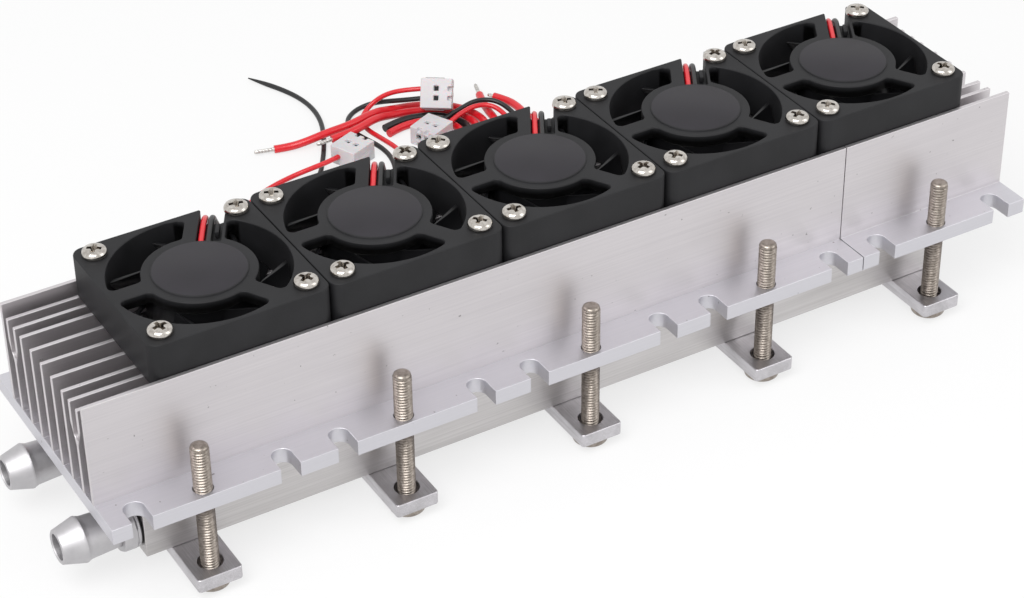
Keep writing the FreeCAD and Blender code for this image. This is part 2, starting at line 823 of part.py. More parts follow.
red_lead_1_drop = [(-96.65, 30, 18.5), (-95.55, 38.3, 12.2), (-90.85, 42.5, 4.6)]
red_lead_1_route = [
    (-81.85, 41.5), (-64.35, 37.2), (-43.35, 34.9), (-21.35, 34.5), (-3.35, 36.2), (9.15, 41.8),
    (19.15, 51), (27.45, 63), (34.95, 75.2), (42.45, 86.1), (48.65, 98.2), (48.05, 106),
    (43.45, 112.6), (36.65, 116.2), (30.25, 116.9, 1.5), (24.15, 115.5, 3.2), (16.65, 113, 3.3),
    (9.15, 112.6, 3.3), (3.15, 113.4, 2), (-0.75, 114.8), (-4.45, 115.8),
]
red_lead_2_drop = [(-56.65, 30, 18.5), (-55.75, 38, 12), (-51.55, 42.3, 4.8)]
red_lead_2_route = [
    (-42.35, 41.3), (-24.35, 37.6), (-4.35, 38.8), (7.65, 44.2), (17.15, 53), (25.25, 64.6),
    (32.45, 76.6), (39.95, 87.4), (46.05, 98.2), (45.35, 105.2), (41.45, 110.8), (35.65, 113.7),
    (29.25, 114.3, 1.5), (23.25, 112.6, 3.2), (17.25, 110.2, 3.3), (12.45, 109.5, 3.2),
    (9.05, 109.7, 2.9),
]
black_lead_2_drop = [(-24.65, 29.8, 18.5), (-24.05, 37.6, 12.4), (-20.75, 42.2, 4.8)]
black_lead_2_route = [
    (-12.85, 42), (-3.75, 42.3), (5.95, 46.8), (14.95, 54.9), (22.95, 66), (29.95, 78.2),
    (37.55, 88.8), (43.55, 98.5), (42.65, 104.2), (39.25, 108.6), (34.05, 110.8), (28.85, 111.1),
    (24.55, 110),
]
red_lead_3_drop = [(-8.65, 30, 18.5), (-9.05, 38, 12.4), (-7.55, 43.8, 5.2)]
red_lead_3_route = [
    (-1.85, 48.2), (5.65, 52.3), (12.85, 58.5), (20.25, 68), (27.25, 80), (33.05, 88.2), (37.7, 93.7),
    (41.1, 98.4), (40.25, 104.3), (35.5, 107.8), (31.3, 108.5), (27.2, 108.1), (24.25, 107.1),
]
red_lead_4_drop = [(23.35, 30, 18.5), (22.85, 38.5, 12.2), (22.55, 46, 5)]
red_lead_4_route = [
    (25.25, 54), (32.4, 63.4), (39.3, 73.7), (46.25, 85.8), (51.25, 98), (51.85, 105.3), (54.05, 112),
]
red_lead_5_drop = [(63.35, 30, 18.5), (64.05, 39, 12), (65.05, 48.2, 4)]
red_lead_5_route = [
    (65.65, 58.5), (65.05, 70), (62.65, 80), (60.25, 88.5), (59.05, 95.6), (59.55, 101.2),
    (58.85, 105.7), (56.85, 109.2),
]

element_lead("element_lead_red_1", 0, -element_lead_offset, red_lead_1_drop, red_lead_1_route, long_bare_tip)
element_lead("element_lead_red_2", 1, -element_lead_offset, red_lead_2_drop, red_lead_2_route, bare_tip)
element_lead("element_lead_black_2", 1, element_lead_offset, black_lead_2_drop, black_lead_2_route, 0)
element_lead("element_lead_red_3", 2, -middle_lead_offset, red_lead_3_drop, red_lead_3_route, 0)
element_lead("element_lead_red_4", 3, -element_lead_offset, red_lead_4_drop, red_lead_4_route, long_bare_tip)
element_lead("element_lead_red_5", 4, -element_lead_offset, red_lead_5_drop, red_lead_5_route, short_bare_tip)
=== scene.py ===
import json
import math

import bmesh
import bpy
from mathutils import Matrix, Vector

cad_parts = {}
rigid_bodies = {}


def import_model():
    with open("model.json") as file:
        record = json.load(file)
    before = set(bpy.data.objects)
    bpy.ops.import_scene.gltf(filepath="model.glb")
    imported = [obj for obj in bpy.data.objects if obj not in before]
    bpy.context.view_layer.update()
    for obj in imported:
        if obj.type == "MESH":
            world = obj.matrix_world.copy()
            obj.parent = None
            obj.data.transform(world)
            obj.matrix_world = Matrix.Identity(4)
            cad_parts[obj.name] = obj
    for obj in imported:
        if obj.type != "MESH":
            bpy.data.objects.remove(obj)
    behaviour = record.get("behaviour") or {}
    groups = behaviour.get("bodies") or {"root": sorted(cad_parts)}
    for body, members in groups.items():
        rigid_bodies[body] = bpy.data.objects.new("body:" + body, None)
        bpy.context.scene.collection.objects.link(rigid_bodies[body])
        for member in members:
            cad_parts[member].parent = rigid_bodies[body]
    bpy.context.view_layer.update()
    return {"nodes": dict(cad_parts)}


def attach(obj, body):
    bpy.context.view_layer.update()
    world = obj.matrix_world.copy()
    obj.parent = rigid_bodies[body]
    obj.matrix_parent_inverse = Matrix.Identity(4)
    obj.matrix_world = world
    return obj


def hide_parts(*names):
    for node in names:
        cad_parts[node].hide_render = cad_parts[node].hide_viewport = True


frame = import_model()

nodes = frame["nodes"]
mm = 0.001  # pieces are modelled in millimetres and brought to metres once finished


def placed(name, data):  # a new object in the scene
    item = bpy.data.objects.new(name, data)
    bpy.context.collection.objects.link(item)
    return item


# Camera, at the photograph's angle
cameraPlace = {
    "position": (-0.24525, -0.415, 0.35734),
    "azimuth": -30.341,
    "elevation": 34.862,
    "roll": -0.721,
    "lens": 93.37,
    "sensor": 36,
    "clip": (0.02, 20),
}


def makeCamera():
    data = bpy.data.cameras.new("camera")
    data.sensor_width = cameraPlace["sensor"]
    data.lens = cameraPlace["lens"]
    data.clip_start, data.clip_end = cameraPlace["clip"]
    camera = placed("camera", data)
    turn, rise, roll = (math.radians(cameraPlace[key]) for key in ("azimuth", "elevation", "roll"))
    back = Vector((math.sin(turn) * math.cos(rise), -math.cos(turn) * math.cos(rise), math.sin(rise)))
    level = Vector((math.cos(turn), math.sin(turn), 0))
    above = back.cross(level)
    right = level * math.cos(roll) + above * math.sin(roll)
    up = above * math.cos(roll) - level * math.sin(roll)
    facing = Matrix((right, up, back)).transposed().to_4x4()
    camera.matrix_world = Matrix.Translation(cameraPlace["position"]) @ facing
    bpy.context.scene.camera = camera


makeCamera()
print("camera ready")

# Leads: the routes in metres, from where each leaves the object to its far end
leadRoutes = {
    "fan_lead_red_1": [
        (-0.07089, 0.00932, 0.0552), (-0.06814, 0.01408, 0.0555), (-0.06534, 0.01893, 0.0552),
        (-0.06374, 0.0217, 0.052), (-0.06165, 0.0266, 0.0456), (-0.05955, 0.032, 0.0348),
        (-0.05715, 0.0392, 0.0228), (-0.05405, 0.0464, 0.0104), (-0.04915, 0.0551, 0.0019),
        (-0.04285, 0.066, 0.00065), (-0.03685, 0.0775, 0.00065), (-0.02935, 0.0885, 0.00065),
        (-0.02085, 0.0972, 0.00065), (-0.01335, 0.1006, 0.00065), (-0.00685, 0.101, 0.0016),
        (-0.00135, 0.1, 0.0029), (0.00295, 0.1003, 0.003), (0.00678, 0.10176, 0.0026),
    ],
    "fan_lead_black_1": [
        (-0.06955, 0.00855, 0.0552), (-0.0668, 0.01331, 0.0555), (-0.064, 0.01816, 0.0552),
        (-0.0624, 0.02093, 0.052), (-0.05925, 0.0252, 0.0453), (-0.05645, 0.031, 0.0342),
        (-0.05375, 0.0374, 0.0226), (-0.05035, 0.0446, 0.0103), (-0.04555, 0.0531, 0.0019),
        (-0.03835, 0.0635, 0.00065), (-0.03235, 0.074, 0.00065), (-0.02535, 0.084, 0.00065),
        (-0.01785, 0.092, 0.00065), (-0.01035, 0.0958, 0.00065), (-0.00435, 0.0966, 0.00065),
        (-0.00015, 0.0988, 0.00065), (0.00285, 0.1034, 0.00065), (0.00605, 0.1086, 0.00065),
        (0.00965, 0.1155, 0.00065), (0.01245, 0.1225, 0.00065), (0.01365, 0.1295, 0.00065),
        (0.01305, 0.1365, 0.00065), (0.01095, 0.1428, 0.00065), (0.00845, 0.148, 0.00065),
        (0.00615, 0.1526, 0.00065),
    ],
    "fan_lead_red_2": [
        (-0.03069, 0.00932, 0.0552), (-0.02794, 0.01408, 0.0555), (-0.02514, 0.01893, 0.0552),
        (-0.02354, 0.0217, 0.052), (-0.02145, 0.0266, 0.0456), (-0.01935, 0.032, 0.0348),
        (-0.01695, 0.0392, 0.0228), (-0.01385, 0.0464, 0.0104), (-0.00895, 0.0551, 0.0019),
        (-0.00135, 0.0645, 0.0016), (0.00615, 0.073, 0.003), (0.01215, 0.0786, 0.003),
        (0.01865, 0.086, 0.00065), (0.02225, 0.093, 0.00065), (0.02305, 0.1, 0.00065),
        (0.02185, 0.1065, 0.00065), (0.02065, 0.1123, 0.00065), (0.02125, 0.117, 0.00065),
        (0.02395, 0.1199, 0.0012), (0.02705, 0.1203, 0.0032), (0.02985, 0.1184, 0.0056),
        (0.0331, 0.1151, 0.0074), (0.03692, 0.11229, 0.00797),
    ],
    "fan_lead_black_2": [
        (-0.02935, 0.00855, 0.0552), (-0.0266, 0.01331, 0.0555), (-0.0238, 0.01816, 0.0552),
        (-0.0222, 0.02093, 0.052), (-0.01905, 0.0252, 0.0453), (-0.01625, 0.031, 0.0342),
        (-0.01355, 0.0374, 0.0226), (-0.01015, 0.0446, 0.0103), (-0.00535, 0.0531, 0.0019),
        (0.00115, 0.0625, 0.00065), (0.00645, 0.0725, 0.00065), (0.01165, 0.0815, 0.00065),
        (0.01685, 0.0895, 0.00065), (0.01965, 0.097, 0.00065), (0.01965, 0.1035, 0.00065),
        (0.01785, 0.1095, 0.00065), (0.01685, 0.115, 0.00065), (0.01855, 0.1198, 0.00065),
        (0.02285, 0.1229, 0.00065), (0.02745, 0.1223, 0.0016), (0.03045, 0.1184, 0.0032),
        (0.03275, 0.1142, 0.0049), (0.0361, 0.11111, 0.00593),
    ],
    "fan_lead_red_3": [
        (0.00951, 0.00932, 0.0552), (0.01226, 0.01408, 0.0555), (0.01506, 0.01893, 0.0552),
        (0.01666, 0.0217, 0.052), (0.01875, 0.0266, 0.0456), (0.02085, 0.032, 0.0348),
        (0.02325, 0.0392, 0.0228), (0.02635, 0.0464, 0.0104), (0.03125, 0.0551, 0.0019),
        (0.03885, 0.0635, 0.00065), (0.04565, 0.073, 0.00065), (0.05025, 0.082, 0.00065),
        (0.05285, 0.0905, 0.00065), (0.05365, 0.0975, 0.0024), (0.05205, 0.102, 0.0037),
        (0.04785, 0.1038, 0.0038), (0.04345, 0.1026, 0.0037), (0.04005, 0.1014, 0.0034),
        (0.03698, 0.10027, 0.0026),
    ],
    "fan_lead_black_3": [
        (0.01085, 0.00855, 0.0552), (0.0136, 0.01331, 0.0555), (0.0164, 0.01816, 0.0552),
        (0.018, 0.02093, 0.052), (0.02115, 0.0252, 0.0453), (0.02395, 0.031, 0.0342),
        (0.02665, 0.0374, 0.0226), (0.03005, 0.0446, 0.0103), (0.03485, 0.0531, 0.0019),
        (0.04265, 0.061, 0.00065), (0.04945, 0.071, 0.00065), (0.05385, 0.0808, 0.00065),
        (0.05585, 0.09, 0.00065), (0.05615, 0.0976, 0.0022), (0.05425, 0.1036, 0.0037),
        (0.04945, 0.1061, 0.0038), (0.04405, 0.1047, 0.0035), (0.03995, 0.1036, 0.0034),
        (0.03592, 0.10253, 0.0026),
    ],
    "fan_lead_red_4": [
        (0.04971, 0.00932, 0.0552), (0.05246, 0.01408, 0.0555), (0.05526, 0.01893, 0.0552),
        (0.05686, 0.0217, 0.052), (0.05895, 0.0266, 0.0456), (0.06105, 0.032, 0.0348),
        (0.06345, 0.0392, 0.0228), (0.06655, 0.0464, 0.0104), (0.07145, 0.0551, 0.0019),
        (0.07305, 0.066, 0.00065), (0.07285, 0.077, 0.00065), (0.07125, 0.0874, 0.00065),
        (0.07295, 0.0952, 0.00065), (0.07945, 0.0984, 0.00065), (0.08565, 0.0958, 0.00065),
        (0.0897, 0.0905, 0.00065),
    ],
    "fan_lead_black_4": [
        (0.05105, 0.00855, 0.0552), (0.0538, 0.01331, 0.0555), (0.0566, 0.01816, 0.0552),
        (0.0582, 0.02093, 0.052), (0.06135, 0.0252, 0.0453), (0.06415, 0.031, 0.0342),
        (0.06685, 0.0374, 0.0226), (0.07025, 0.0446, 0.0103), (0.07505, 0.0531, 0.0019),
        (0.07765, 0.064, 0.00065), (0.07885, 0.075, 0.00065), (0.07825, 0.085, 0.00065),
        (0.08165, 0.091, 0.00065),
    ],
    "fan_lead_red_5": [
        (0.08991, 0.00932, 0.0552), (0.09266, 0.01408, 0.0555), (0.09546, 0.01893, 0.0552),
        (0.09706, 0.0217, 0.052), (0.09915, 0.0266, 0.0456), (0.10125, 0.032, 0.0348),
        (0.10365, 0.0392, 0.0228), (0.10675, 0.0464, 0.0104), (0.11165, 0.0551, 0.0019),
        (0.11325, 0.0675, 0.00065), (0.11115, 0.078, 0.00065), (0.10605, 0.086, 0.00065),
        (0.09965, 0.0905, 0.00065),
    ],
    "fan_lead_black_5": [
        (0.09125, 0.00855, 0.0552), (0.094, 0.01331, 0.0555), (0.0968, 0.01816, 0.0552),
        (0.0984, 0.02093, 0.052), (0.10155, 0.0252, 0.0453), (0.10435, 0.031, 0.0342),
        (0.10705, 0.0374, 0.0226), (0.11045, 0.0446, 0.0103), (0.11525, 0.0531, 0.0019),
        (0.11705, 0.065, 0.00065), (0.11625, 0.076, 0.00065), (0.11145, 0.0856, 0.00065),
        (0.10465, 0.0926, 0.00065), (0.09695, 0.0956, 0.00065),
    ],
    "element_lead_red_1": [
        (-0.09665, 0.02, 0.01935), (-0.09665, 0.03, 0.0185), (-0.09555, 0.0383, 0.0122),
        (-0.09085, 0.0425, 0.0046), (-0.08185, 0.0415, 0.00105), (-0.06435, 0.0372, 0.00105),
        (-0.04335, 0.0349, 0.00105), (-0.02135, 0.0345, 0.00105), (-0.00335, 0.0362, 0.00105),
        (0.00915, 0.0418, 0.00105), (0.01915, 0.051, 0.00105), (0.02745, 0.063, 0.00105),
        (0.03495, 0.0752, 0.00105), (0.04245, 0.0861, 0.00105), (0.04865, 0.0982, 0.00105),
        (0.04805, 0.106, 0.00105), (0.04345, 0.1126, 0.00105), (0.03665, 0.1162, 0.00105),
        (0.03025, 0.1169, 0.0015), (0.02415, 0.1155, 0.0032), (0.01665, 0.113, 0.0033),
        (0.00915, 0.1126, 0.0033), (0.00315, 0.1134, 0.002), (-0.00075, 0.1148, 0.00105),
        (-0.00445, 0.1158, 0.00105),
    ],
    "element_lead_red_2": [
        (-0.05665, 0.02, 0.01935), (-0.05665, 0.03, 0.0185), (-0.05575, 0.038, 0.012),
        (-0.05155, 0.0423, 0.0048), (-0.04235, 0.0413, 0.00105), (-0.02435, 0.0376, 0.00105),
        (-0.00435, 0.0388, 0.00105), (0.00765, 0.0442, 0.00105), (0.01715, 0.053, 0.00105),
        (0.02525, 0.0646, 0.00105), (0.03245, 0.0766, 0.00105), (0.03995, 0.0874, 0.00105),
        (0.04605, 0.0982, 0.00105), (0.04535, 0.1052, 0.00105), (0.04145, 0.1108, 0.00105),
        (0.03565, 0.1137, 0.00105), (0.02925, 0.1143, 0.0015), (0.02325, 0.1126, 0.0032),
        (0.01725, 0.1102, 0.0033), (0.01245, 0.1095, 0.0032), (0.00905, 0.1097, 0.0029),
    ],
    "element_lead_black_2": [
        (-0.02465, 0.02, 0.01935), (-0.02465, 0.0298, 0.0185), (-0.02405, 0.0376, 0.0124),
        (-0.02075, 0.0422, 0.0048), (-0.01285, 0.042, 0.00105), (-0.00375, 0.0423, 0.00105),
        (0.00595, 0.0468, 0.00105), (0.01495, 0.0549, 0.00105), (0.02295, 0.066, 0.00105),
        (0.02995, 0.0782, 0.00105), (0.03755, 0.0888, 0.00105), (0.04355, 0.0985, 0.00105),
        (0.04265, 0.1042, 0.00105), (0.03925, 0.1086, 0.00105), (0.03405, 0.1108, 0.00105),
        (0.02885, 0.1111, 0.00105), (0.02455, 0.11, 0.00105),
    ],
    "element_lead_red_3": [
        (-0.00865, 0.02, 0.01935), (-0.00865, 0.03, 0.0185), (-0.00905, 0.038, 0.0124),
        (-0.00755, 0.0438, 0.0052), (-0.00185, 0.0482, 0.00105), (0.00565, 0.0523, 0.00105),
        (0.01285, 0.0585, 0.00105), (0.02025, 0.068, 0.00105), (0.02725, 0.08, 0.00105),
        (0.03305, 0.0882, 0.00105), (0.0377, 0.0937, 0.00105), (0.0411, 0.0984, 0.00105),
        (0.04025, 0.1043, 0.00105), (0.0355, 0.1078, 0.00105), (0.0313, 0.1085, 0.00105),
        (0.0272, 0.1081, 0.00105), (0.02425, 0.1071, 0.00105),
    ],
    "element_lead_red_4": [
        (0.02335, 0.02, 0.01935), (0.02335, 0.03, 0.0185), (0.02285, 0.0385, 0.0122),
        (0.02255, 0.046, 0.005), (0.02525, 0.054, 0.00105), (0.0324, 0.0634, 0.00105),
        (0.0393, 0.0737, 0.00105), (0.04625, 0.0858, 0.00105), (0.05125, 0.098, 0.00105),
        (0.05185, 0.1053, 0.00105), (0.05405, 0.112, 0.00105),
    ],
    "element_lead_red_5": [
        (0.06335, 0.02, 0.01935), (0.06335, 0.03, 0.0185), (0.06405, 0.039, 0.012),
        (0.06505, 0.0482, 0.004), (0.06565, 0.0585, 0.00105), (0.06505, 0.07, 0.00105),
        (0.06265, 0.08, 0.00105), (0.06025, 0.0885, 0.00105), (0.05905, 0.0956, 0.00105),
        (0.05955, 0.1012, 0.00105), (0.05885, 0.1057, 0.00105), (0.05685, 0.1092, 0.00105),
    ],
}
leadMake = {
    "fanRadius": 0.65,
    "elementRadius": 1.05,
    "roundSteps": 5,  # bevel resolution
    "spanSteps": 7,
    "bareTips": {  # bare wire past the insulation, in millimetres
        "element_lead_red_1": 5.2,
        "element_lead_red_2": 4.2,
        "element_lead_red_4": 5.2,
        "element_lead_red_5": 1.8,
    },
    "pointed": ["fan_lead_black_1"],
    "pointShare": 0.25,
    "plugs": {
        "fan_lead_red_1": ["fan_plug_1"],
        "fan_lead_red_2": ["fan_plug_2"],
        "fan_lead_red_3": ["fan_plug_3"],
        "fan_lead_black_2": ["fan_plug_2"],
        "fan_lead_black_3": ["fan_plug_3"],
    },
}


def pieceName(node):
    first, *rest = node.split("_")
    return first + "".join(word.capitalize() for word in rest)


def makeLead(node, points, radius):
    data = bpy.data.curves.new(pieceName(node), "CURVE")
    data.dimensions = "3D"
    data.bevel_depth = radius  # in millimetres, as each knot's radius is one millimetre
    data.bevel_resolution = leadMake["roundSteps"]
    data.use_fill_caps = True
    spline = data.splines.new("NURBS")
    spline.points.add(len(points) - 1)
    for knot, point in zip(spline.points, points):
        knot.co = (*point, 1)
        knot.radius = mm
    if node in leadMake["pointed"]:
        spline.points[-1].radius = leadMake["pointShare"] * mm
    spline.order_u = 3
    spline.use_endpoint_u = True
    spline.resolution_u = leadMake["spanSteps"]
    spline.use_smooth = True
    lead = placed(data.name, data)
    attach(lead, "root")
    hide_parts(node)
    return lead


leads = {}
for node, points in leadRoutes.items():
    radius = leadMake["elementRadius" if node.startswith("element") else "fanRadius"]
    leads[node] = makeLead(node, points, radius)
print("leads laid:", len(leads))


# Materials

class Signal:  # a value on its way through the nodes
    def __init__(self, wiring, socket):
        self.wiring = wiring
        self.socket = socket

    def __add__(self, other):
        return self.wiring.maths("ADD", self, other)

    def __radd__(self, other):
        return self.wiring.maths("ADD", other, self)

    def __sub__(self, other):
        return self.wiring.maths("SUBTRACT", self, other)

    def __rsub__(self, other):
        return self.wiring.maths("SUBTRACT", other, self)

    def __mul__(self, other):
        return self.wiring.maths("MULTIPLY", self, other)

    def __rmul__(self, other):
        return self.wiring.maths("MULTIPLY", other, self)


class Wiring:  # adds nodes to the tree of a material or of the sky
    def __init__(self, tree):
        self.tree = tree

    def add(self, kind, settings=None, sockets=None, output=0):
        node = self.tree.nodes.new(kind)
        for key, value in (settings or {}).items():
            setattr(node, key, value)
        for key, value in (sockets or {}).items():
            if isinstance(value, Signal):
                self.tree.links.new(value.socket, node.inputs[key])
            else:
                node.inputs[key].default_value = value
        return Signal(self, node.outputs[output])

    def maths(self, operation, first, second=0.0):
        return self.add("ShaderNodeMath", {"operation": operation}, {0: first, 1: second})

    def seen(self):  # 1 where the camera, gloss or clear glass looks at it, 0 where it only gives light
        names = ("Is Camera Ray", "Is Glossy Ray", "Is Transmission Ray")
        paths = [self.add("ShaderNodeLightPath", output=name) for name in names]
        return self.maths("MINIMUM", paths[0] + paths[1] + paths[2], 1.0)


class Finish(Wiring):
    def __init__(self, name, **constants):
        self.material = bpy.data.materials.new(name)
        self.material.use_nodes = True
        super().__init__(self.material.node_tree)
        self.shader = self.tree.nodes["Principled BSDF"]
        for socket, value in constants.items():
            self.shader.inputs[socket.replace("_", " ")].default_value = value
        self.place = self.add("ShaderNodeTexCoord", output="Object")

    def axis(self, letter):
        return self.add("ShaderNodeSeparateXYZ", None, {0: self.place}, letter)

    def noise(self, size, stretch=(1, 1, 1), detail=3.0, rough=0.5):  # size of a blotch in millimetres
        scale = [1 / mm / size / amount for amount in stretch]
        spread = self.add("ShaderNodeMapping", None, {"Vector": self.place, "Scale": scale})
        sockets = {"Vector": spread, "Scale": 1.0, "Detail": detail, "Roughness": rough}
        return self.add("ShaderNodeTexNoise", None, sockets)

    def step(self, value, low, high):  # 0 below low, 1 above high
        return self.add("ShaderNodeMapRange", {"clamp": True}, {0: value, 1: low, 2: high, 3: 0.0, 4: 1.0})

    def mix(self, amount, first, second):
        pair = [(*colour, 1) if isinstance(colour, tuple) else colour for colour in (first, second)]
        return self.add("ShaderNodeMix", {"data_type": "RGBA"}, {0: amount, 6: pair[0], 7: pair[1]}, 2)

    def feed(self, socket, value):
        self.tree.links.new(value.socket, self.shader.inputs[socket])

    def bump(self, height, depth, strength):  # depth in millimetres
        sockets = {"Height": height, "Distance": depth * mm, "Strength": strength}
        self.feed("Normal", self.add("ShaderNodeBump", None, sockets))


sinkFoot = {  # heights above the base, where the fins stand on it, in millimetres
    "base": (0.02, 0.06),
    "baseTone": (0.62, 0.625, 0.675),
    "baseShare": 0.6,
    "shadow": (0.1, 1.1),
    "shadowTone": (0.42, 0.40, 0.41),
    "shadowShare": 0.35,
}


def extruded(name, tone, dark, rough, pits, foot=None):  # foot is the height of a sink's base
    finish = Finish(name, Metallic=1.0)
    streaks = finish.noise(0.35, stretch=(120, 1, 1), detail=4, rough=0.65)
    clouds = finish.noise(14, stretch=(2.5, 1, 1))
    worn = finish.step(streaks * 0.55 + clouds * 0.45, 0.3, 0.7)
    colour = finish.mix(worn, dark, tone)
    if foot:
        height = finish.axis("Z")
        baseLow, baseHigh = ((foot + rise) * mm for rise in sinkFoot["base"])
        shadowLow, shadowHigh = ((foot + rise) * mm for rise in sinkFoot["shadow"])
        base = 1 - finish.step(height, baseLow, baseHigh)
        shadow = (1 - base) * (1 - finish.step(height, shadowLow, shadowHigh))
        colour = finish.mix(base * sinkFoot["baseShare"], colour, sinkFoot["baseTone"])
        colour = finish.mix(shadow * sinkFoot["shadowShare"], colour, sinkFoot["shadowTone"])
    specks = finish.step(finish.noise(1.3, detail=2), 0.74, 0.78)
    colour = finish.mix(specks * pits, colour, (0.16, 0.15, 0.15))
    finish.feed("Base Color", colour)
    finish.feed("Roughness", rough + (1 - worn) * 0.14)
    finish.bump(streaks + clouds * 0.3, depth=0.010, strength=0.35)
    return finish.material


def brushed(name, tone, dark, rough):
    finish = Finish(name, Metallic=1.0)
    scratches = finish.noise(0.22, stretch=(1, 60, 1), detail=4, rough=0.7)
    clouds = finish.noise(5, stretch=(1, 1.6, 1), detail=4, rough=0.6)
    worn = finish.step(scratches * 0.5 + clouds * 0.5, 0.32, 0.68)
    finish.feed("Base Color", finish.mix(worn, dark, tone))
    finish.feed("Roughness", rough + (1 - worn) * 0.16)
    finish.bump(scratches, depth=0.015, strength=0.6)
    return finish.material


def turnedMetal(name, tone, dark, rough, ring, axis):  # ring is the distance between tool marks
    finish = Finish(name, Metallic=1.0)
    along = finish.axis(axis)
    clouds = finish.noise(2.2)
    rings = finish.maths("SINE", along * (2 * math.pi / (ring * mm)) + clouds * 3.0)
    finish.feed("Base Color", finish.mix(clouds, dark, tone))
    finish.feed("Roughness", rough + clouds * 0.10)
    finish.bump(rings + clouds * 0.6, depth=0.004, strength=0.35)
    return finish.material


def plated(name, tone, dark, rough):
    finish = Finish(name, Metallic=1.0)
    clouds = finish.noise(0.9, detail=4, rough=0.6)
    fine = finish.noise(0.12, detail=2)
    finish.feed("Base Color", finish.mix(finish.step(clouds, 0.3, 0.7), dark, tone))
    finish.feed("Roughness", rough + clouds * 0.16)
    finish.bump(fine, depth=0.006, strength=0.3)
    return finish.material


def moulded(name, tone, light, rough, grain=0.16, depth=0.012, **constants):
    finish = Finish(name, **constants)
    grains = finish.noise(grain, rough=0.6)
    clouds = finish.noise(9)
    dust = finish.step(finish.noise(0.55, detail=2), 0.76, 0.8)
    dusty = tuple(min(1.0, part * 2.2 + 0.02) for part in light)
    colour = finish.mix(finish.step(clouds, 0.35, 0.65), tone, light)
    finish.feed("Base Color", finish.mix(dust * 0.25, colour, dusty))
    finish.feed("Roughness", rough + clouds * 0.12)
    finish.bump(grains, depth=depth, strength=0.5)
    return finish.material


def insulation(name, tone, shade, rough, gloss):
    finish = Finish(name, Coat_Weight=gloss, Coat_Roughness=0.12)
    clouds = finish.noise(3.5, detail=2)
    fine = finish.noise(0.3, detail=2)
    finish.feed("Base Color", finish.mix(clouds, shade, tone))
    finish.feed("Roughness", rough + clouds * 0.12)
    finish.bump(fine, depth=0.010, strength=0.35)
    return finish.material


cell = {
    "low": 17.7,
    "high": 21.0,
    "plate": 0.75,
    "plateEdge": 1.05,  # the plate's colour ends within this many thicknesses
    "ceramic": ((0.70, 0.69, 0.66), (0.84, 0.83, 0.80)),
    "sealant": ((0.42, 0.42, 0.42), (0.58, 0.58, 0.57)),
}


def cellPlates():  # ceramic plates above and below, sealant between
    low, high, plate = (cell[key] * mm for key in ("low", "high", "plate"))
    edge = plate * cell["plateEdge"]
    finish = Finish("cellCeramic", Specular_IOR_Level=0.4)
    height = finish.axis("Z")
    aboveLower = finish.step(height, low + plate, low + edge)
    belowUpper = 1 - finish.step(height, high - edge, high - plate)
    clouds = finish.noise(2.4)
    ceramic = finish.mix(clouds, *cell["ceramic"])
    sealant = finish.mix(clouds, *cell["sealant"])
    finish.feed("Base Color", finish.mix(aboveLower * belowUpper, ceramic, sealant))
    finish.feed("Roughness", 0.45 + clouds * 0.2)
    finish.bump(finish.noise(0.5), depth=0.02, strength=0.5)
    return finish.material


motor = {
    "boardFoot": 53.0,
    "boardEdge": 0.05,
    "layer": 0.35,
    "board": (0.02, 0.12, 0.05),
    "wire": ((0.30, 0.10, 0.04), (0.62, 0.26, 0.11)),
}


def windings():  # layers of copper wire below, the round board above
    finish = Finish("motorStack", Metallic=0.4)
    height = finish.axis("Z")
    foot = motor["boardFoot"] * mm
    board = finish.step(height, foot - motor["boardEdge"] * mm, foot)
    layers = finish.maths("SINE", height * (2 * math.pi / (motor["layer"] * mm)))
    wire = finish.mix(finish.step(layers, -0.4, 0.4), *motor["wire"])
    finish.feed("Base Color", finish.mix(board, wire, motor["board"]))
    finish.feed("Roughness", 0.35 + finish.noise(1.0) * 0.2)
    finish.bump(layers, depth=0.03, strength=0.6)
    return finish.material


